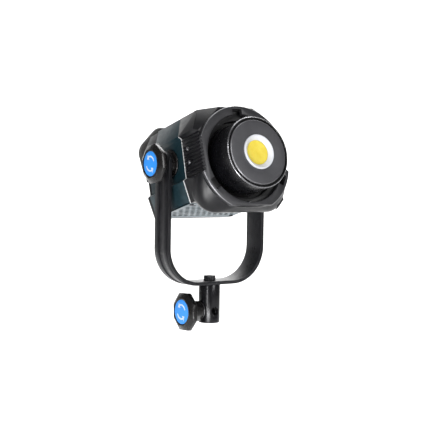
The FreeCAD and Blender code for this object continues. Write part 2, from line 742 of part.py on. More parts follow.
def make_barrel():
    r, s1 = BARREL_R, BARREL_S1
    profile = [
        (36.5, FIN_S1 + 0.2), (r, FIN_S1 + 0.2), (r, s1 - 0.8), (r - 0.8, s1), (40.2, s1), (39.7, s1 - 0.5),
        (39.7, 91.9), (30.0, 91.9), (30.0, BASE_S1 + 0.1), (36.5, BASE_S1 + 0.1),
    ]
    return turned_s(profile, AXIS_U)


def make_bezel():
    s1 = BEZEL_S1
    hole = HOLDER_R + 0.1
    rim = [(BEZEL_R, 92.0), (BEZEL_R, s1 - 1.0), (BEZEL_R - 1.0, s1)]
    return turned_s([(hole, 92.0)] + rim + [(hole, s1)], AXIS_U)


def make_cob_holder():
    profile = [
        (PHOSPHOR_R + 0.2, COB_S + 0.05), (HOLDER_R, COB_S + 0.05), (HOLDER_R, HOLDER_S1 - 0.6),
        (HOLDER_R - 0.6, HOLDER_S1), (HOLDER_R - 1.3, HOLDER_S1), (PHOSPHOR_R + 0.2, PHOSPHOR_S + 0.4),
    ]
    return turned_s(profile, AXIS_U)


def make_cob_substrate():
    return block(-17, 17, BASE_S1, COB_S, AXIS_U - 17, AXIS_U + 17)


def make_phosphor():
    return rod_s(PHOSPHOR_R, COB_S, PHOSPHOR_S, 0, AXIS_U)


def make_copper_base():
    base = block(-30, 30, BASE_S0, BASE_S1, AXIS_U - 18, AXIS_U + 18)
    return cut(base, [rod_s(PIPE_R, BASE_S0 - 1, BASE_S1 - 2, x, u) for x, u in PIPES])


def make_heat_pipes():
    return Part.makeCompound([rod_s(PIPE_R, FIN_S0 - 3, BASE_S1 - 2, x, u) for x, u in PIPES])


def make_fins():
    holes = Part.makeCompound([rod_s(PIPE_R, FIN_S0 - 1, FIN_S1 + 1, x, u) for x, u in PIPES])
    step = 2.8
    fins = []
    for i in range(int((FIN_S1 - FIN_S0 - 0.6) / step) + 1):
        s = FIN_S0 + i * step
        fins.append(block(-FIN_X, FIN_X, s, s + 0.6, FIN_U0, FIN_U1).cut(holes))
    return Part.makeCompound(fins)


def make_led_leads():
    return Part.makeCompound([rod_s(0.9, FIN_S1 + 0.8, BASE_S0 - 0.5, x, 12.5) for x in (-4.0, 4.0)])


FAN_S, FAN_HALF, FAN_U0, FAN_U1 = -11.0, 32.0, -50.4, -35.4
FAN_R = 29.0


def make_fan_frame():
    frame = block(-FAN_HALF, FAN_HALF, FAN_S - FAN_HALF, FAN_S + FAN_HALF, FAN_U0, FAN_U1)
    frame = frame.cut(rod_u(FAN_R + 0.8, FAN_U0 - 1, FAN_U1 + 1, 0, FAN_S))
    motor = rod_u(9.0, FAN_U1 - 2.2, FAN_U1, 0, FAN_S)
    arms = []
    for turn in (45, 165, 285):
        arm = block(0, FAN_R + 3, FAN_S - 1.5, FAN_S + 1.5, FAN_U1 - 2.2, FAN_U1)
        arm.rotate(at(0, FAN_S, 0), V(0, 0, 1), turn)
        arms.append(arm)
    frame = fuse([frame, motor] + arms)
    drills = [rod_u(1.8, FAN_U0 - 1, FAN_U1 + 1, x, s) for x, s in FAN_SCREWS]
    return cut(frame, drills + [rod_u(1.5 + RUN, FAN_U1 - 5, FAN_U1 + 1, 0, FAN_S)])


FAN_SCREWS = [(x, FAN_S + y) for x in (-28.0, 28.0) for y in (-28.0, 28.0)]


def make_fan_rotor():
    u0, u1 = FAN_U0 + 1.2, FAN_U1 - 2.8
    hub = rod_u(12.0, u0, u1, 0, FAN_S)
    shaft = rod_u(1.5, u1 - 1, FAN_U1 - 0.4, 0, FAN_S)
    sweep = rod_u(FAN_R, u0, u1, 0, FAN_S)
    blades = []
    for i in range(7):
        blade = block(10, FAN_R + 2, -6.5, 6.5, -0.6, 0.6)
        blade.rotate(V(0, 0, 0), V(1, 0, 0), 38)
        blade.rotate(V(0, 0, 0), V(0, 0, 1), i * 360 / 7)
        blade.translate(at(0, FAN_S, (u0 + u1) / 2))
        blades.append(blade.common(sweep))
    return fuse([hub, shaft] + blades)


def make_fan_screws():
    return Part.makeCompound([rod_u(1.8, FAN_U0, FAN_U1, x, s) for x, s in FAN_SCREWS])


BOARD_U = 36.0


def make_driver_board():
    return block(-42, 42, -28, 34, BOARD_U, BOARD_U + 1.6)


def make_driver_parts():
    top = BOARD_U + 1.6
    parts = [rod_u(5.0, top, top + 9, x, s) for x, s in ((-34, 22), (-34, 8), (34, 22))]
    parts += [block(x - 8, x + 8, -8, 10, top, top + 8.5) for x in (-12, 12)]
    parts += [block(x - 4, x + 4, -22, -18, top, top + 9) for x in (-24, -12, 0, 12, 24)]
    return Part.makeCompound(parts)


# ---- tilt pivots -------------------------------------------------------------------------
ARM_IN = YOKE_X - YOKE_T
HUB_R0, HUB_R1 = 16.5, 12.0
LINER_T = 1.5


def make_hub():
    x1 = ARM_IN - LINER_T - CLEAR
    profile = [
        (INSERT_R, CHAN_X), (HUB_R0 - 1.0, CHAN_X), (HUB_R0, CHAN_X + 0.8), (HUB_R0, CHAN_X + 2.0),
        (HUB_R0 - 1.2, CHAN_X + 2.8), (HUB_R1, CHAN_X + 2.8), (HUB_R1, x1), (INSERT_R, x1),
    ]
    return turned_x(profile)


def make_insert():
    x1 = ARM_IN - LINER_T - CLEAR
    return rod_x(INSERT_R, x1 - 13.5, x1).cut(rod_x(STUD_R + RUN, x1 - 20, x1 + 1))


def make_liner():
    return rod_x(HUB_R1, ARM_IN - LINER_T, ARM_IN).cut(rod_x(STUD_R + 0.3, ARM_IN - 5, ARM_IN + 1))


def make_pivot_bolt():
    """Shoulder bolt of the right-hand pivot, held in the head's insert."""
    seat = YOKE_X + CLEAR
    head = rod_x(9.0, seat, seat + 4.0)
    rim = [e for e in head.Edges if e.Curve.TypeId == "Part::GeomCircle"]
    rim = [e for e in rim if abs(e.Curve.Center.x - (seat + 4.0)) < 1e-6]
    head = head.makeChamfer(0.8, rim)
    socket = hexagon_x(3.4, seat + 1.6, seat + 5)
    return head.cut(socket).fuse(rod_x(STUD_R, PIVOT_TIP_X, seat))


def hexagon_x(r, x0, x1, sides=6, turn=0.0):
    pts = []
    for i in range(sides):
        a = math.radians(turn + i * 360 / sides)
        pts.append((r * math.cos(a), r * math.sin(a)))
    return along_x(pts, x0, x1)


# ---- yoke and receiver, drawn with the pivot at the origin -------------------------------
def yoke_outline(grow):
    x, low, r = YOKE_X + grow, YOKE_LOW - grow, YOKE_R + grow
    k = r * math.sqrt(0.5)
    top = YOKE_D
    left = [V(-x, 0, top), V(-x, 0, low + r), V(-x + r, 0, low)]
    points = left + [V(-p.x, 0, p.z) for p in reversed(left)]
    edges = [
        Part.makeLine(points[0], points[1]),
        Part.Arc(points[1], V(-x + r - k, 0, low + r - k), points[2]).toShape(),
        Part.makeLine(points[2], points[3]),
        Part.Arc(points[3], V(x - r + k, 0, low + r - k), points[4]).toShape(),
        Part.makeLine(points[4], points[5]),
    ]
    return edges, points


def yoke_shell(grow_out, grow_in, y0, y1):
    outer, po = yoke_outline(grow_out)
    inner, pi = yoke_outline(grow_in)
    ends = [Part.makeLine(po[-1], pi[-1]), Part.makeLine(po[0], pi[0])]
    face = Part.Face(Part.Wire(Part.__sortEdges__(outer + [ends[0]] + inner + [ends[1]])))
    face.translate(V(0, y0, 0))
    return face.extrude(V(0, y1 - y0, 0))


def make_yoke():
    half = YOKE_D / 2
    solid = yoke_shell(0, -YOKE_T, -half, half)
    groove = yoke_shell(2, -0.9, -4.6, 4.6)
    lips = [yoke_shell(2, -0.5, half - 3.2, half + 1), yoke_shell(2, -0.5, -half - 1, -half + 3.2)]
    arm_top = Part.makeBox(200, YOKE_D, 200, V(-100, -half, -200)).fuse(
        Part.makeCylinder(half, 200, V(-100, 0, 0), V(1, 0, 0)))
    solid = solid.common(arm_top)
    holes = [rod_x(STUD_R + 0.3, -80, 80), rod_u(STUD_R, YOKE_LOW - 5, YOKE_LOW + 10)]
    return cut(solid, [groove] + lips + holes)


def make_yoke_bolt():
    seat = YOKE_LOW + YOKE_T
    head = rod_u(BOLT_HEAD_R, seat, seat + BOLT_HEAD_H)
    rim = [e for e in head.Edges if e.Curve.TypeId == "Part::GeomCircle"]
    rim = [e for e in rim if abs(e.Curve.Center.z - (seat + BOLT_HEAD_H)) < 1e-6]
    head = head.makeFillet(0.9, rim)
    knurl = []
    for i in range(30):
        a = math.radians(i * 12)
        kx, ky = BOLT_HEAD_R * math.cos(a), BOLT_HEAD_R * math.sin(a)
        knurl.append(rod_u(0.4, seat + 1, seat + BOLT_HEAD_H - 1.2, kx, ky))
    corners = [math.radians(60 * i) for i in range(6)]
    socket = polygon([V(3.5 * math.cos(a), 3.5 * math.sin(a), seat + 3) for a in corners])
    socket = socket.extrude(V(0, 0, 5))
    shank = rod_u(STUD_R, SOCKET_DEPTH + 0.2 - PIVOT_Z, seat)
    return cut(head, [Part.makeCompound(knurl), socket]).fuse(shank)


def make_receiver():
    """Stand receiver, drawn in the part frame: its bottom face is z = 0."""
    top = PIVOT_Z + YOKE_LOW
    body = Part.makeCylinder(RECEIVER_R, top, V(0, 0, 0))
    rims = [e for e in body.Edges if e.Curve.TypeId == "Part::GeomCircle" and e.Curve.Center.z < 1]
    body = body.makeChamfer(0.8, rims)
    socket = Part.makeCylinder(SOCKET_R, SOCKET_DEPTH, V(0, 0, 0))
    bolt = Part.makeCylinder(STUD_R, 20, V(0, 0, SOCKET_DEPTH - 1))
    umbrella = Part.makeCylinder(UMBRELLA_R, 60, V(0, -30, KNOB_Z), V(0, 1, 0))
    stud = Part.makeCylinder(STUD_R + RUN, 30, V(-30, 0, KNOB_Z), V(1, 0, 0))
    return cut(body, [socket, bolt, umbrella, stud])


# ---- clamping knobs, drawn pointing along -X about the x axis, then placed ---------------
def octagon(r, x, turn):
    angles = [math.radians(turn + 45 * i) for i in range(9)]
    return Part.makePolygon([V(x, r * math.cos(a), r * math.sin(a)) for a in angles])


def make_knob_body(x_face, x_seat, turn):
    """Octagonal hand knob: x_face is its outer face, x_seat the end of its hub."""
    x_wide, x_back = x_face + KNOB_RIM, x_face + KNOB_DEPTH
    rim = octagon(KNOB_CAP_R + 3.4, x_face, turn)
    wide = octagon(KNOB_R, x_wide, turn)
    back = octagon(KNOB_R, x_back - 1.6, turn)
    tail = octagon(KNOB_R - 2.4, x_back, turn)
    body = fuse([
        Part.makeLoft([rim, wide], True, True), Part.makeLoft([wide, back], True, True),
        Part.makeLoft([back, tail], True, True),
    ])
    root = octagon(KNOB_HUB_R + 1.4, x_back - 0.5, turn)
    hub = Part.makeLoft([root, octagon(KNOB_HUB_R, x_seat, turn)], True, True)
    body = body.fuse(hub)
    pocket = Part.makeCylinder(KNOB_CAP_R + 0.15, 1.6, V(x_face - 0.2, 0, 0), V(1, 0, 0))
    socket = Part.makeCylinder(STUD_R, 100, V(x_face + 4.0, 0, 0), V(1, 0, 0))
    return cut(body, [pocket, socket])


def make_knob_cap(x_face):
    """Coloured disc, slightly domed, seated in the knob's pocket."""
    disc = Part.makeCylinder(KNOB_CAP_R, 1.2, V(x_face + 0.2, 0, 0), V(1, 0, 0))
    edge = [e for e in disc.Edges if e.Curve.TypeId == "Part::GeomCircle"]
    edge = [e for e in edge if abs(e.Curve.Center.x - (x_face + 0.2)) < 1e-6]
    return disc.makeFillet(0.5, edge)


def make_stud(x_face, x_tip):
    stud = Part.makeCylinder(STUD_R, x_tip - x_face - 4.0, V(x_face + 4.0, 0, 0), V(1, 0, 0))
    tip = [e for e in stud.Edges if e.Curve.TypeId == "Part::GeomCircle"]
    tip = [e for e in tip if abs(e.Curve.Center.x - x_tip) < 1e-6]
    return stud.makeChamfer(0.8, tip)


def make_washer(x0, x1):
    ring = Part.makeCylinder(10.5, x1 - x0, V(x0, 0, 0), V(1, 0, 0))
    return ring.cut(Part.makeCylinder(STUD_R + RUN, x1 - x0 + 2, V(x0 - 1, 0, 0), V(1, 0, 0)))


WASHER_T = 1.4


def save_knob(name, x_face, x_surface, x_tip, z, turn):
    """A knob, its cap, its stud and its thrust washer, in the part frame."""
    washer_x0 = x_surface - CLEAR - WASHER_T
    pieces = {
        name + "_body": make_knob_body(x_face, washer_x0 - 0.1, turn),
        name + "_cap": make_knob_cap(x_face),
        name + "_stud": make_stud(x_face, x_tip),
        name + "_washer": make_washer(washer_x0, washer_x0 + WASHER_T),
    }
    for node, shape in pieces.items():
        shape = shape.copy()
        shape.translate(V(0, 0, z))
        save(node, shape)


# ---- write every node --------------------------------------------------------------------
def main():
    trim = make_seam_trim()
    dials = {"dial_brightness": -DIAL_X, "dial_colour": DIAL_X}
    head = {
        "body_shell": make_body_shell(),
        "bottom_grille": make_bottom_grille(),
        "grille_screws": Part.makeCompound([
            pan_screw(V(0, 0, -1), at(x, s, BASE_U), 2.6, 1.2, 1.6, 3.0) for x, s in GRILLE_SCREWS]),
        "rear_cap": make_rear_cap(),
        "rear_screws": Part.makeCompound(make_rear_screws()),
        "control_panel": make_control_panel(),
        "display_glass": make_display(),
        "control_board": make_control_board(),
        "power_inlet": make_power_inlet(),
        "inlet_pins": make_inlet_pins(),
        "switch_frame": make_switch_frame(),
        "power_rocker": make_rocker(),
        "handle_core": make_handle_core(),
        "handle_grip": make_handle_grip(),
        "handle_screws": make_handle_screws(),
        "seam_trim": trim,
        "front_housing": make_front_housing(trim),
        "rib_panel_right": make_rib_panel(),
        "rib_panel_left": mirror_x(make_rib_panel()),
        "rib_screws": make_rib_screws(),
        "mount_ring": make_mount_ring(),
        "mount_ring_screws": Part.makeCompound(make_ring_screws()),
        "gap_sleeve": make_gap_sleeve(),
        "lock_pin": make_lock_pin(),
        "release_slider": make_release_slider(),
        "cob_barrel": make_barrel(),
        "bezel_plate": make_bezel(),
        "cob_holder": make_cob_holder(),
        "cob_substrate": make_cob_substrate(),
        "cob_phosphor": make_phosphor(),
        "copper_base": make_copper_base(),
        "heat_pipes": make_heat_pipes(),
        "heatsink_fins": make_fins(),
        "led_leads": make_led_leads(),
        "fan_frame": make_fan_frame(),
        "fan_rotor": make_fan_rotor(),
        "fan_screws": make_fan_screws(),
        "driver_board": make_driver_board(),
        "driver_parts": make_driver_parts(),
        "pivot_hub_right": make_hub(),
        "pivot_hub_left": mirror_x(make_hub()),
        "pivot_inserts": both_sides(make_insert()),
        "pivot_bolt": make_pivot_bolt(),
    }
    for name, x in dials.items():
        head[name] = make_dial(x)
    for name, x in BUTTONS.items():
        head[name] = make_button(x)
    for name, shape in head.items():
        save_head(name, shape)
    save_yoke("yoke", make_yoke())
    save_yoke("yoke_bolt", make_yoke_bolt())
    save_yoke("arm_liners", both_sides(make_liner()))
    save("receiver", make_receiver())
    save_knob("tilt_knob", TILT_KNOB_X, -YOKE_X, -PIVOT_TIP_X, PIVOT_Z, 12.0)
    save_knob("stand_knob", STAND_KNOB_X, -RECEIVER_R, -SOCKET_R - 0.4, KNOB_Z, 20.0)


main()
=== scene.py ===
import bpy
import bmesh
import math
from mathutils import Matrix, Vector
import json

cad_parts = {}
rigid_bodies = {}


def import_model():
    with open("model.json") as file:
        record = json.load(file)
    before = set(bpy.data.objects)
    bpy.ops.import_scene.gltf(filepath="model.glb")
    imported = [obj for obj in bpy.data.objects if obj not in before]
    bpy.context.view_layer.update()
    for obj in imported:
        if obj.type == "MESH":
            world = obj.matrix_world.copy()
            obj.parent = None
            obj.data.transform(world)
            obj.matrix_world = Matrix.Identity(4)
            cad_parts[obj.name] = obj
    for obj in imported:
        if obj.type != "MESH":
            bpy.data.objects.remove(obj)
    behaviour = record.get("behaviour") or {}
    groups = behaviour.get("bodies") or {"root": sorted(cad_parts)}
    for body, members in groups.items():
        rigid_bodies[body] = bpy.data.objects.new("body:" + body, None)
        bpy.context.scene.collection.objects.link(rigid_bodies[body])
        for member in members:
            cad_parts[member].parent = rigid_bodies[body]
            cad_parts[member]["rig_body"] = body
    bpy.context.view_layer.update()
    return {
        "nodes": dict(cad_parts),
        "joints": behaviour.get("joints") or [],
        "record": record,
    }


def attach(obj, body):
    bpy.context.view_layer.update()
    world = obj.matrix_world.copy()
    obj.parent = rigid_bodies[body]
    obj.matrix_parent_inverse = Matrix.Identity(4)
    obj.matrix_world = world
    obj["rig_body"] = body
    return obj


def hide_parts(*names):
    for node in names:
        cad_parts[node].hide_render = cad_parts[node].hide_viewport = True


# Looks of a tilting studio COB spotlight on a clamping stand receiver.
# Part frame in metres: +Z up, the lamp faces -Y. Mesh code works in millimetres in two local
# frames: HEAD, the head drawn level with its tilt pivot at zero, and PART, the part frame.
# A head point is given as (x, s, u): s forward along the optical axis, u up.

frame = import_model()
nodes = frame["nodes"]
joints = {joint["name"]: joint for joint in frame["joints"]}
mounts = {mount["name"]: mount for mount in frame["record"]["mounts"]}
body_of = {node: obj["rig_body"] for node, obj in nodes.items()}

MM = 0.001
pivot = Vector(joints["head_tilt"]["pos_m"])
forward = Vector(mounts["accessory_bayonet"]["axis"]).normalized()
right = Vector((1, 0, 0))
up = forward.cross(right)


def basis(x_axis, y_axis, z_axis, origin):
    turn = Matrix((x_axis, y_axis, z_axis)).transposed().to_4x4()
    return Matrix.Translation(origin) @ turn @ Matrix.Scale(MM, 4)


HEAD = basis(right, -forward, up, pivot)
PART = Matrix.Scale(MM, 4)


def span(node, place=HEAD):
    """Lowest and highest corner of a CAD node in a local frame, in millimetres."""
    back = place.inverted()
    points = [back @ v.co for v in nodes[node].data.vertices]
    low = Vector([min(p[i] for p in points) for i in range(3)])
    high = Vector([max(p[i] for p in points) for i in range(3)])
    return low, high


# ---- materials ---------------------------------------------------------------------------
class Paint:
    """A procedural material, built from the texture outwards."""

    def __init__(self, name, rough, metal=0.0, coat=0.0):
        self.made = bpy.data.materials.new(name)
        self.made.use_nodes = True
        self.tree = self.made.node_tree
        self.shader = self.tree.nodes["Principled BSDF"]
        self.shader.inputs["Roughness"].default_value = rough
        self.shader.inputs["Metallic"].default_value = metal
        self.shader.inputs["Coat Weight"].default_value = coat
        self.shader.inputs["Coat Roughness"].default_value = 0.12
        self.shader.inputs["IOR"].default_value = 1.5
        self.spot = self.tree.nodes.new("ShaderNodeTexCoord").outputs["Object"]

    def link(self, a, b):
        self.tree.links.new(a, b)

    def noise(self, scale, detail=3.0, stretch=None):
        node = self.tree.nodes.new("ShaderNodeTexNoise")
        node.inputs["Scale"].default_value = scale
        node.inputs["Detail"].default_value = detail
        source = self.spot
        if stretch:
            mapping = self.tree.nodes.new("ShaderNodeMapping")
            mapping.inputs["Scale"].default_value = stretch
            self.link(source, mapping.inputs["Vector"])
            source = mapping.outputs["Vector"]
        self.link(source, node.inputs["Vector"])
        return node.outputs["Fac"]

    def axial(self, centre, axis):
        """Coordinates whose Z runs along an axis through a centre."""
        turn = axis.rotation_difference(Vector((0, 0, 1))).to_matrix().to_4x4()
        mapping = self.tree.nodes.new("ShaderNodeMapping")
        mapping.inputs["Location"].default_value = -(turn @ centre)
        mapping.inputs["Rotation"].default_value = turn.to_euler()
        self.link(self.spot, mapping.inputs["Vector"])
        return mapping.outputs["Vector"]

    def maths(self, operation, first, second):
        node = self.tree.nodes.new("ShaderNodeMath")
        node.operation = operation
        for socket, value in zip(node.inputs, (first, second)):
            if isinstance(value, (int, float)):
                socket.default_value = value
            else:
                self.link(value, socket)
        return node.outputs[0]

    def rim(self, centre, axis, radius, height):
        """One outside a radius and beyond a height along an axis, zero elsewhere; in millimetres."""
        split = self.tree.nodes.new("ShaderNodeSeparateXYZ")
        self.link(self.axial(centre, axis), split.inputs[0])
        x, y, z = split.outputs
        squares = self.maths("ADD", self.maths("MULTIPLY", x, x), self.maths("MULTIPLY", y, y))
        far = self.maths("SQRT", squares, 0.0)
        outside = self.ramp(far, 0.0, 1.0, (radius * MM, (radius + 0.25) * MM))
        beyond = self.ramp(z, 0.0, 1.0, (height * MM, (height + 0.25) * MM))
        return self.maths("MULTIPLY", outside, beyond)

    def turned(self, centre, axis, scale, wobble=0.0):
        """Fine concentric lathe lines about an axis."""
        wave = self.tree.nodes.new("ShaderNodeTexWave")
        wave.wave_type = "RINGS"
        wave.rings_direction = "Z"
        wave.inputs["Scale"].default_value = scale
        wave.inputs["Distortion"].default_value = wobble
        wave.inputs["Detail"].default_value = 2.0
        self.link(self.axial(centre, axis), wave.inputs["Vector"])
        return wave.outputs["Fac"]

    def ramp(self, source, low, high, at=(0.3, 0.7)):
        node = self.tree.nodes.new("ShaderNodeMapRange")
        node.inputs["From Min"].default_value = at[0]
        node.inputs["From Max"].default_value = at[1]
        node.inputs["To Min"].default_value = low
        node.inputs["To Max"].default_value = high
        self.link(source, node.inputs["Value"])
        return node.outputs["Result"]

    def blend(self, source, first, second):
        node = self.tree.nodes.new("ShaderNodeMix")
        node.data_type = "RGBA"
        self.link(source, node.inputs["Factor"])
        for socket, value in (("A", first), ("B", second)):
            colour = [s for s in node.inputs if s.name == socket and s.type == "RGBA"][0]
            if isinstance(value, tuple):
                colour.default_value = (*value, 1)
            else:
                self.link(value, colour)
        return [s for s in node.outputs if s.type == "RGBA"][0]

    def colour(self, value):
        if isinstance(value, tuple):
            self.shader.inputs["Base Color"].default_value = (*value, 1)
        else:
            self.link(value, self.shader.inputs["Base Color"])

    def roughness(self, value):
        self.link(value, self.shader.inputs["Roughness"])

    def bump(self, height, depth_mm, strength=1.0):
        node = self.tree.nodes.new("ShaderNodeBump")
        node.inputs["Strength"].default_value = strength
        node.inputs["Distance"].default_value = depth_mm * MM
        self.link(height, node.inputs["Height"])
        if self.shader.inputs["Normal"].is_linked:
            before = self.shader.inputs["Normal"].links[0].from_socket
            self.link(before, node.inputs["Normal"])
        self.link(node.outputs["Normal"], self.shader.inputs["Normal"])

    def worn_edges(self, base, bare, start=0.53, end=0.6):
        """Edges rubbed towards a bare colour, broken up by noise."""
        sharp = self.tree.nodes.new("ShaderNodeNewGeometry").outputs["Pointiness"]
        amount = self.ramp(sharp, 0.0, 1.0, (start, end))
        patch = self.ramp(self.noise(180.0), 0.1, 0.8, (0.42, 0.62))
        both = self.tree.nodes.new("ShaderNodeMath")
        both.operation = "MULTIPLY"
        self.link(amount, both.inputs[0])
        self.link(patch, both.inputs[1])
        return self.blend(both.outputs[0], base, bare)


def tint(colour, factor):
    return tuple(min(1.0, c * factor) for c in colour)


def mottled(paint, base, spread, scale):
    """Base colour drifting a little darker and lighter over the surface."""
    return paint.blend(
        paint.ramp(paint.noise(scale), 0.0, 1.0), tint(base, 1 - spread), tint(base, 1 + spread))


def coated(name, base, rough, grain=2200.0, depth=0.02, metal=0.0, coat=0.0, spread=0.18, bare=None,
           specular=0.5):
    """Painted, moulded or anodised surface: mottled colour, fine grain, uneven gloss."""
    paint = Paint(name, rough, metal, coat)
    paint.shader.inputs["Specular IOR Level"].default_value = specular
    shade = mottled(paint, base, spread, 45.0)
    if bare:
        shade = paint.worn_edges(shade, bare)
    paint.colour(shade)
    paint.roughness(paint.ramp(paint.noise(130.0, 5.0), rough - 0.05, rough + 0.06))
    paint.bump(paint.noise(grain, 2.0), depth)
    return paint


def brushed(name, base, rough, stretch, metal=1.0, bare=None, depth=0.01):
    """Metal with a fine directional grain; stretch is small along the grain."""
    paint = Paint(name, rough, metal)
    grain = paint.noise(900.0, 4.0, stretch)
    shade = paint.blend(paint.ramp(grain, 0.0, 1.0), tint(base, 0.8), tint(base, 1.2))
    if bare:
        shade = paint.worn_edges(shade, bare)
    paint.colour(shade)
    paint.roughness(paint.ramp(grain, rough - 0.08, rough + 0.1))
    paint.bump(grain, depth)
    return paint


def lathed(name, base, rough, centre, axis, scale, metal=0.0, coat=0.0, depth=0.008, spread=0.1, edge=None):
    """Turned metal with concentric tool marks round an axis; edge is where its cut rim shows bare."""
    paint = Paint(name, rough, metal, coat)
    rings = paint.turned(centre, axis, scale, 0.4)
    shade = mottled(paint, base, spread, 60.0)
    if edge:
        bare = paint.rim(centre, axis, *edge)
        shade = paint.blend(bare, shade, (0.20, 0.20, 0.21))
        paint.link(paint.ramp(bare, metal, 0.85, (0.0, 1.0)), paint.shader.inputs["Metallic"])
    paint.colour(shade)
    paint.roughness(paint.ramp(paint.noise(110.0, 4.0), rough - 0.05, rough + 0.06))
    paint.bump(rings, depth, 0.6)
    paint.bump(paint.noise(2600.0, 2.0), depth, 0.5)
    return paint


ring_low, ring_high = span("mount_ring")
barrel_low, barrel_high = span("cob_barrel")
bezel_low, bezel_high = span("bezel_plate")
AXIS_U = (barrel_low.z + barrel_high.z) / 2
ring_radius = ring_high.z - AXIS_U
optic = HEAD @ Vector((0, 0, AXIS_U))
TEAL = (0.0055, 0.022, 0.030)
WORN = (0.016, 0.016, 0.018)
# Dark teal painted on the grille's hole walls: painted shade inside the holes.
HOLE_WALL_SHADE = (0.006, 0.018, 0.023)


def yellow_phosphor():
    paint = Paint("phosphor", 0.55)
    cells = paint.tree.nodes.new("ShaderNodeTexVoronoi")
    cells.inputs["Scale"].default_value = 900.0
    paint.link(paint.spot, cells.inputs["Vector"])
    soft = paint.blend(paint.ramp(paint.noise(160.0), 0.0, 1.0), (0.78, 0.60, 0.045), (0.83, 0.70, 0.09))
    between_cells = paint.ramp(cells.outputs["Distance"], 0.0, 0.25, (0.0, 0.6))
    paint.colour(paint.blend(between_cells, soft, (0.70, 0.50, 0.03)))
    paint.bump(cells.outputs["Distance"], 0.05, 0.6)
    paint.shader.inputs["Subsurface Weight"].default_value = 0.15
    paint.shader.inputs["Subsurface Radius"].default_value = (0.002, 0.001, 0.0005)
    paint.shader.inputs["Subsurface Scale"].default_value = 0.5
    return paint


def circuit_board():
    paint = Paint("board", 0.38)
    tracks = paint.tree.nodes.new("ShaderNodeTexBrick")
    tracks.inputs["Scale"].default_value = 220.0
    tracks.inputs["Mortar Size"].default_value = 0.08
    tracks.inputs["Color1"].default_value = (0.01, 0.10, 0.04, 1)
    tracks.inputs["Color2"].default_value = (0.012, 0.12, 0.05, 1)
    tracks.inputs["Mortar"].default_value = (0.03, 0.19, 0.08, 1)
    paint.link(paint.spot, tracks.inputs["Vector"])
    paint.link(tracks.outputs["Color"], paint.shader.inputs["Base Color"])
    paint.bump(tracks.outputs["Fac"], 0.03)
    return paint


def rubber():
    paint = Paint("handle_rubber", 0.72)
    base = (0.028, 0.026, 0.026)
    paint.colour(paint.blend(paint.ramp(paint.noise(70.0), 0.0, 1.0), tint(base, 0.8), tint(base, 1.35)))
    paint.roughness(paint.ramp(paint.noise(400.0, 4.0), 0.6, 0.82))
    paint.bump(paint.noise(650.0, 3.0), 0.28, 0.8)
    paint.shader.inputs["Sheen Weight"].default_value = 0.12
    return paint


def punched_sheet():
    """Grille sheet: the pale face is partly the sheet's own paint and partly a painted reflection of the lit
    floor below; the hole walls are dark teal as painted shade.
    """
    paint = Paint("grille", 0.42, 0.2)
    facing = paint.tree.nodes.new("ShaderNodeVectorMath")
    facing.operation = "DOT_PRODUCT"
    facing.inputs[1].default_value = up
    paint.link(paint.tree.nodes.new("ShaderNodeNewGeometry").outputs["Normal"], facing.inputs[0])
    drift = paint.ramp(paint.noise(60.0), 0.0, 1.0)
    # The pale face colour is partly the sheet's own paint and partly a painted reflection of the lit floor.
    pale_face_and_reflection = paint.blend(drift, (0.10, 0.135, 0.155), (0.13, 0.17, 0.19))
    # Faces turned away from the sheet's face, which are the hole walls, get dark teal: painted shade in the
    # holes.
    hole_shade = paint.ramp(facing.outputs["Value"], 0.0, 1.0, (-0.9, -0.75))
    paint.colour(paint.blend(hole_shade, pale_face_and_reflection, HOLE_WALL_SHADE))
    paint.roughness(paint.ramp(paint.noise(130.0, 5.0), 0.37, 0.48))
    paint.bump(paint.noise(1600.0, 2.0), 0.01)
    return paint


def glass_cover():
    paint = Paint("display", 0.08, 0.0, 0.6)
    drift = paint.ramp(paint.noise(30.0), 0.0, 1.0)
    paint.colour(paint.blend(drift, (0.004, 0.005, 0.007), (0.009, 0.010, 0.013)))
    paint.roughness(paint.ramp(paint.noise(220.0, 5.0), 0.05, 0.14))
    return paint


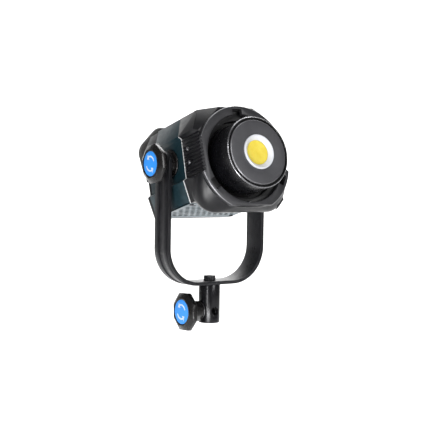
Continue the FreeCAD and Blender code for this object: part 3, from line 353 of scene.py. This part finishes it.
PAINTS = {
    "teal": coated("teal", TEAL, 0.38, 1800.0, 0.012, 0.1, 0.0, 0.07, (0.016, 0.042, 0.054)),
    "grille": punched_sheet(),
    "black_paint": coated("black_paint", (0.0045, 0.0045, 0.006), 0.32, 1700.0, 0.008, 0.0, 0.0, 0.15,
                          WORN, 0.35),
    "plastic": coated("plastic", (0.006, 0.006, 0.0075), 0.38, 1300.0, 0.012, 0.0, 0.0, 0.12, WORN, 0.35),
    "ring": lathed("ring", (0.044, 0.044, 0.048), 0.36, optic, forward, 700.0, 0.3, 0.0, 0.002, 0.1,
                   (ring_radius - 0.8, -ring_low.y - 1.0)),
    "barrel": lathed("barrel", (0.0035, 0.0035, 0.0045), 0.27, optic, forward, 500.0, 0.0, 0.0, 0.0001, 0.1,
                     (barrel_high.x - 1.2, -barrel_low.y - 1.3)),
    "bezel": lathed("bezel", (0.062, 0.062, 0.068), 0.40, optic, forward, 950.0, 0.2, 0.0, 0.002, 0.1,
                    (bezel_high.x - 1.1, 0.0)),
    "gap": coated("gap", (0.006, 0.006, 0.007), 0.5, 1500.0, 0.03),
    "ceramic": coated("ceramic", (0.66, 0.675, 0.72), 0.38, 1200.0, 0.012, 0.0, 0.0, 0.03),
    "substrate": brushed("substrate", (0.72, 0.72, 0.73), 0.3, (1, 0.1, 1)),
    "knob": coated("knob", (0.004, 0.0035, 0.0035), 0.26, 1400.0, 0.010, 0.0, 0.1, 0.15,
                   (0.012, 0.010, 0.010)),
    "cap": coated("cap", (0.022, 0.30, 0.95), 0.36, 900.0, 0.012, 0.0, 0.25, 0.06),
    "mark": coated("mark", (0.62, 0.72, 0.80), 0.5, 900.0, 0.01, 0.0, 0.0, 0.05),
    "yoke": brushed("yoke", (0.012, 0.012, 0.0145), 0.33, (1, 1, 0.06), 0.3, (0.03, 0.03, 0.034), 0.004),
    "receiver": lathed("receiver", (0.010, 0.010, 0.012), 0.22, Vector((0, 0, 0)), Vector((0, 0, 1)), 600.0,
                       0.4, 0.0, 0.002),
    "steel": brushed("steel", (0.42, 0.42, 0.44), 0.28, (1, 1, 0.2)),
    "dark_steel": brushed("dark_steel", (0.035, 0.035, 0.038), 0.32, (1, 1, 0.2), 0.8, (0.2, 0.2, 0.2)),
    "trim": brushed("trim", (0.90, 0.92, 0.93), 0.42, (1, 0.2, 1), 0.35),
    "brass": brushed("brass", (0.60, 0.44, 0.18), 0.25, (0.2, 0.2, 1)),
    "copper": brushed("copper", (0.72, 0.33, 0.17), 0.28, (1, 0.1, 1)),
    "fins": brushed("fins", (0.20, 0.21, 0.22), 0.36, (0.08, 1, 1)),
    "board": circuit_board(),
    "component": coated("component", (0.016, 0.016, 0.018), 0.5, 1000.0, 0.03),
    "wire": coated("wire", (0.45, 0.02, 0.015), 0.45, 1500.0, 0.02),
    "rubber": rubber(),
    "display": glass_cover(),
    "phosphor": yellow_phosphor(),
}


# ---- mesh helpers ------------------------------------------------------------------------
JOIN_WITHIN = 2e-6           # metres; corners closer than this are one corner
FLAT_ANGLE = 0.6             # degrees; faces closer than this to one plane are one face


def finish_mesh(name, mesh, paint, body, replaced, sharp=32.0):
    mesh.validate()
    mesh.update()
    for face in mesh.polygons:
        face.use_smooth = True
    mesh.set_sharp_from_angle(angle=math.radians(sharp))
    mesh.materials.clear()
    mesh.materials.append(PAINTS[paint].made)
    piece = bpy.data.objects.new(name, mesh)
    bpy.context.scene.collection.objects.link(piece)
    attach(piece, body)
    if replaced:
        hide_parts(*replaced)
    return piece


def applied(mesh, modifiers):
    """The mesh after a list of (type, settings) modifiers."""
    holder = bpy.data.objects.new("working", mesh)
    bpy.context.scene.collection.objects.link(holder)
    for kind, settings in modifiers:
        modifier = holder.modifiers.new(kind.lower(), kind)
        for key, value in settings.items():
            setattr(modifier, key, value)
    graph = bpy.context.evaluated_depsgraph_get()
    made = bpy.data.meshes.new_from_object(holder.evaluated_get(graph))
    bpy.data.objects.remove(holder)
    return made


def bevelled(width, segments=2, angle=30.0):
    return ("BEVEL", {
        "width": width * MM, "segments": segments, "limit_method": "ANGLE",
        "angle_limit": math.radians(angle), "use_clamp_overlap": True, "miter_outer": "MITER_ARC",
        "harden_normals": False})


def cad_copy(node):
    """A node's mesh with its split corners joined and its flat faces whole."""
    work = bmesh.new()
    work.from_mesh(nodes[node].data)
    bmesh.ops.remove_doubles(work, verts=work.verts, dist=JOIN_WITHIN)
    bmesh.ops.dissolve_limit(
        work, angle_limit=math.radians(FLAT_ANGLE), verts=work.verts, edges=work.edges,
        use_dissolve_boundaries=False)
    mesh = bpy.data.meshes.new(node)
    work.to_mesh(mesh)
    work.free()
    return mesh


def refine(node, paint, width=0.4, segments=2, angle=30.0, sharp=32.0):
    """A CAD node rebuilt with rounded edges, as a piece that stands for it."""
    mesh = cad_copy(node)
    if width:
        mesh = applied(mesh, [bevelled(width, segments, angle)])
    return finish_mesh(node + "_skin", mesh, paint, body_of[node], [node], sharp)


def rounded_profile(points, radius, steps=3):
    """Closed profile with each corner turned into a small arc."""
    out = []
    count = len(points)
    for i, point in enumerate(points):
        p = Vector(point)
        a = Vector(points[i - 1]) - p
        b = Vector(points[(i + 1) % count]) - p
        reach = min(radius, a.length * 0.45, b.length * 0.45)
        start, end = p + a.normalized() * reach, p + b.normalized() * reach
        for k in range(steps + 1):
            t = k / steps
            out.append(start * (1 - t) ** 2 + p * 2 * t * (1 - t) + end * t ** 2)
    return out


def lathe_mesh(name, profile, steps):
    """Closed profile of (radius, s) turned about the optical axis."""
    work = bmesh.new()
    rings = []
    for i in range(steps):
        a = 2 * math.pi * i / steps
        c, s = math.cos(a), math.sin(a)
        ring = []
        for r, t in profile:
            ring.append(work.verts.new(HEAD @ Vector((r * c, -t, AXIS_U + r * s))))
        rings.append(ring)
    for i in range(steps):
        here, there = rings[i], rings[(i + 1) % steps]
        for k in range(len(profile)):
            n = (k + 1) % len(profile)
            work.faces.new((here[k], here[n], there[n], there[k]))
    bmesh.ops.remove_doubles(work, verts=work.verts, dist=1e-7)
    bmesh.ops.recalc_face_normals(work, faces=work.faces)
    mesh = bpy.data.meshes.new(name)
    work.to_mesh(mesh)
    work.free()
    return mesh


def lathe(node, paint, profile, steps, radius):
    """A round CAD node turned anew from its profile, as a piece that stands for it."""
    mesh = lathe_mesh(node, rounded_profile(profile, radius), steps)
    return finish_mesh(node + "_turned", mesh, paint, body_of[node], [node])


# ---- head --------------------------------------------------------------------------------
def turned_stack():
    """Barrel, bezel, chip holder and phosphor, all round the optical axis."""
    r, front, rear = barrel_high.x, -barrel_low.y, -barrel_high.y
    bezel_r, bezel_front, bezel_rear = bezel_high.x, -bezel_low.y, -bezel_high.y
    hold_low, hold_high = span("cob_holder")
    hold_r, hold_front, hold_rear = hold_high.x, -hold_low.y, -hold_high.y
    light_low, light_high = span("cob_phosphor")
    light_r, light_front, light_rear = light_high.x, -light_low.y, -light_high.y
    seat, seat_back, web = bezel_rear - 0.1, bezel_rear - 1.4, 30.0
    bore, mouth, throat, chamfer = 36.5, 40.4, 39.7, 1.1
    lathe("cob_barrel", "barrel", [
        (bore, rear), (r, rear), (r, front - chamfer), (r - chamfer, front), (mouth, front),
        (throat, front - 0.7), (throat, seat), (web, seat), (web, seat_back), (bore, seat_back),
    ], steps=192, radius=0.45)
    lathe("bezel_plate", "bezel", [
        (hold_r + 0.1, bezel_rear), (bezel_r, bezel_rear), (bezel_r, bezel_front - chamfer),
        (bezel_r - chamfer, bezel_front), (hold_r + 0.1, bezel_front),
    ], steps=192, radius=0.35)
    lathe("cob_holder", "ceramic", [
        (light_r + 0.2, hold_rear), (hold_r, hold_rear), (hold_r, hold_front - 0.7),
        (hold_r - 0.7, hold_front), (hold_r - 1.5, hold_front), (light_r + 0.2, light_front + 0.4),
    ], steps=144, radius=0.4)
    lathe("cob_phosphor", "phosphor", [
        (0.0, light_rear), (light_r, light_rear), (light_r, light_front - 0.1),
        (light_r - 0.4, light_front), (light_r * 0.5, light_front), (0.0, light_front),
    ], steps=96, radius=0.1)


turned_stack()

# Finish of every other node: paint, material slot, edge radius in millimetres, nodes.
FINISHES = (
    ("teal", "teal_paint", 0.45, ("body_shell",)),
    ("grille", "grille_paint", 0.2, ("bottom_grille",)),
    ("plastic", "rear_plastic", 0.7, ("rear_cap",)),
    ("black_paint", "black_plastic", 0.8, ("front_housing",)),
    ("black_paint", "black_plastic", 0.22, ("rib_panel_right", "rib_panel_left")),
    ("plastic", "black_plastic", 0.3, ("control_panel", "switch_frame", "release_slider")),
    ("ring", "ring_metal", 0.35, ("mount_ring",)),
    ("gap", "black_metal", 0.25, ("gap_sleeve",)),
    ("trim", "silver", 0.1, ("seam_trim",)),
    ("steel", "silver", 0.25, ("power_inlet",)),
    ("steel", "steel", 0.12, ("rib_screws", "mount_ring_screws", "fan_screws", "lock_pin",
                              "tilt_knob_stud", "stand_knob_stud", "tilt_knob_washer", "stand_knob_washer")),
    ("dark_steel", "black_steel", 0.12, ("grille_screws", "rear_screws", "handle_screws", "yoke_bolt")),
    ("dark_steel", "black_steel", 0.2, ("pivot_bolt",)),
    ("dark_steel", "black_metal", 0.2, ("handle_core",)),
    ("knob", "black_metal", 0.3, ("pivot_hub_right", "pivot_hub_left")),
    ("rubber", "grip_rubber", 0.4, ("handle_grip",)),
    ("yoke", "black_metal", 0.45, ("yoke",)),
    ("receiver", "black_metal", 0.3, ("receiver",)),
    ("knob", "black_plastic", 0.9, ("tilt_knob_body", "stand_knob_body")),
    ("cap", "blue_cap", 0.0, ("tilt_knob_cap", "stand_knob_cap")),
    ("display", "display_glass", 0.2, ("display_glass",)),
    ("plastic", "button_grey", 0.2, ("dial_brightness", "dial_colour",
                                     "button_mode", "button_effect", "button_fan")),
    ("component", "red_plastic", 0.3, ("power_rocker",)),
    ("component", "component_black", 0.3, ("driver_parts", "fan_frame", "fan_rotor")),
    ("board", "board_green", 0.1, ("control_board", "driver_board")),
    ("brass", "brass", 0.1, ("inlet_pins", "pivot_inserts")),
    ("copper", "copper", 0.2, ("copper_base", "heat_pipes")),
    ("fins", "bare_aluminium", 0.05, ("heatsink_fins",)),
    ("substrate", "bare_aluminium", 0.1, ("cob_substrate",)),
    ("wire", "wire_red", 0.1, ("led_leads",)),
    ("ceramic", "white_nylon", 0.2, ("arm_liners",)),
)
for paint, slot, width, members in FINISHES:
    for node in members:
        refine(node, paint, width)


# ---- printed marks -----------------------------------------------------------------------
def flat_shape(name, outlines, origin, across, along, out, paint, body, lift=0.06, depth=0.25):
    """Thin raised print: outlines of (across, along) points in millimetres on a plane."""
    work = bmesh.new()
    for outline in outlines:
        rings = []
        for height in (-depth, lift):
            rings.append([
                work.verts.new(origin + (across * a + along * b + out * height) * MM) for a, b in outline])
        work.faces.new(rings[1])
        work.faces.new(list(reversed(rings[0])))
        for k in range(len(outline)):
            n = (k + 1) % len(outline)
            work.faces.new((rings[0][k], rings[0][n], rings[1][n], rings[1][k]))
    bmesh.ops.recalc_face_normals(work, faces=work.faces)
    mesh = bpy.data.meshes.new(name)
    work.to_mesh(mesh)
    work.free()
    return finish_mesh(name, mesh, paint, body, None)


def arc_band(radius, width, start, end, steps=12):
    """Outline of a curved band between two angles in degrees."""
    outer, inner = [], []
    for i in range(steps + 1):
        a = math.radians(start + (end - start) * i / steps)
        outer.append((math.cos(a) * (radius + width / 2), math.sin(a) * (radius + width / 2)))
        inner.append((math.cos(a) * (radius - width / 2), math.sin(a) * (radius - width / 2)))
    return outer + list(reversed(inner))


def arrow_head(radius, at_angle, size):
    """Small triangle that ends a curved band, pointing to rising angles."""
    a = math.radians(at_angle)
    tip = a + size / radius
    return [
        (math.cos(a) * (radius + size * 0.8), math.sin(a) * (radius + size * 0.8)),
        (math.cos(tip) * radius, math.sin(tip) * radius),
        (math.cos(a) * (radius - size * 0.8), math.sin(a) * (radius - size * 0.8)),
    ]


def cap_marks():
    """Two plain curved arrows on each blue cap, for the way that it turns to loosen."""
    for name in ("tilt", "stand"):
        cap = name + "_knob_cap"
        low, high = span(cap, PART)
        middle = Vector((low.x, (low.y + high.y) / 2, (low.z + high.z) / 2)) * MM
        radius = (high.z - low.z) / 2
        outlines = []
        for start in (20, 200):
            outlines.append(arc_band(radius * 0.58, radius * 0.13, start, start + 95))
            outlines.append(arrow_head(radius * 0.58, start + 95, radius * 0.30))
        flat_shape(name + "_knob_mark", outlines, middle, Vector((0, -1, 0)), Vector((0, 0, 1)),
                   Vector((-1, 0, 0)), "mark", name + "_knob")


cap_marks()


# ---- camera ------------------------------------------------------------------------------
def camera():
    azimuth, elevation, distance = math.radians(34.57), math.radians(0.015), 1.3151
    roll, aim_right, aim_up = math.radians(0.83), 0.00114, -0.0564
    level = math.cos(elevation)
    towards = Vector((math.sin(azimuth) * level, math.cos(azimuth) * level, -math.sin(elevation)))
    spot = pivot - towards * distance
    side = towards.cross(Vector((0, 0, 1))).normalized()
    above = side.cross(towards)
    look = (pivot + side * aim_right + above * aim_up - spot).normalized()
    side = look.cross(Vector((0, 0, 1))).normalized()
    above = side.cross(look)
    rolled_side = side * math.cos(roll) + above * math.sin(roll)
    rolled_up = above * math.cos(roll) - side * math.sin(roll)
    data = bpy.data.cameras.new("camera")
    data.sensor_width = 36.0
    data.lens = 93.13
    data.clip_start = 0.05
    data.clip_end = 50.0
    eye = bpy.data.objects.new("camera", data)
    turn = Matrix((rolled_side, rolled_up, -look)).transposed().to_4x4()
    eye.matrix_world = Matrix.Translation(spot) @ turn
    bpy.context.scene.collection.objects.link(eye)
    bpy.context.scene.camera = eye


camera()


# ---- floor, backdrop and light -----------------------------------------------------------
def pale(name, colour):
    made = bpy.data.materials.new(name)
    made.use_nodes = True
    made.node_tree.nodes["Principled BSDF"].inputs["Base Color"].default_value = (*colour, 1)
    made.node_tree.nodes["Principled BSDF"].inputs["Roughness"].default_value = 0.9
    return made


def sweep_floor():
    """Pale floor that curves up into a wall behind the lamp."""
    floor_z, depth, width, wall, bend = -0.30, 3.2, 6.0, 3.0, 0.8
    profile = [(-3.0, floor_z)]
    for i in range(13):
        a = math.pi / 2 * i / 12
        profile.append((depth - bend + bend * math.sin(a), floor_z + bend - bend * math.cos(a)))
    profile.append((depth, floor_z + wall))
    work = bmesh.new()
    left = [work.verts.new((-width, y, z)) for y, z in profile]
    far = [work.verts.new((width, y, z)) for y, z in profile]
    for i in range(len(profile) - 1):
        work.faces.new((left[i], far[i], far[i + 1], left[i + 1]))
    mesh = bpy.data.meshes.new("backdrop")
    work.to_mesh(mesh)
    work.free()
    for face in mesh.polygons:
        face.use_smooth = True
    mesh.materials.append(pale("backdrop", (0.93, 0.93, 0.93)))
    made = bpy.data.objects.new("backdrop", mesh)
    made.rotation_euler = (0, 0, math.radians(-34.6))
    bpy.context.scene.collection.objects.link(made)


def soft_light(name, spot, target, size, power, colour=(1, 1, 1)):
    data = bpy.data.lights.new(name, "AREA")
    data.shape = "RECTANGLE"
    data.size, data.size_y = size
    data.energy = power
    data.color = colour
    lamp = bpy.data.objects.new(name, data)
    lamp.location = spot
    lamp.rotation_euler = (Vector(target) - Vector(spot)).to_track_quat("-Z", "Y").to_euler()
    bpy.context.scene.collection.objects.link(lamp)


sweep_floor()
world = bpy.data.worlds.new("studio")
world.use_nodes = True
world.node_tree.nodes["Background"].inputs["Color"].default_value = (1.0, 1.0, 1.0, 1)
world.node_tree.nodes["Background"].inputs["Strength"].default_value = 0.15
bpy.context.scene.world = world
bpy.context.scene.view_settings.view_transform = "Standard"
soft_light("key", (-1.5, -1.3, 1.4), (0, 0, 0.19), (0.5, 0.5), 13)
soft_light("left_strip", (-1.5, -1.0, 0.15), (0, 0, 0.19), (0.16, 0.9), 8)
soft_light("low_left", (-0.44, -0.50, -0.15), (0, -0.06, 0.18), (0.34, 0.10), 2.6)
soft_light("top", (0.1, 0.1, 1.7), (0, 0, 0.19), (0.7, 0.7), 4)
soft_light("front_fill", (0.5, -1.9, 0.7), (0, 0, 0.19), (0.8, 0.8), 14)
soft_light("wall_wash", (0.9, 0.9, 2.0), (1.5, 2.2, 0.3), (2.6, 1.2), 120)
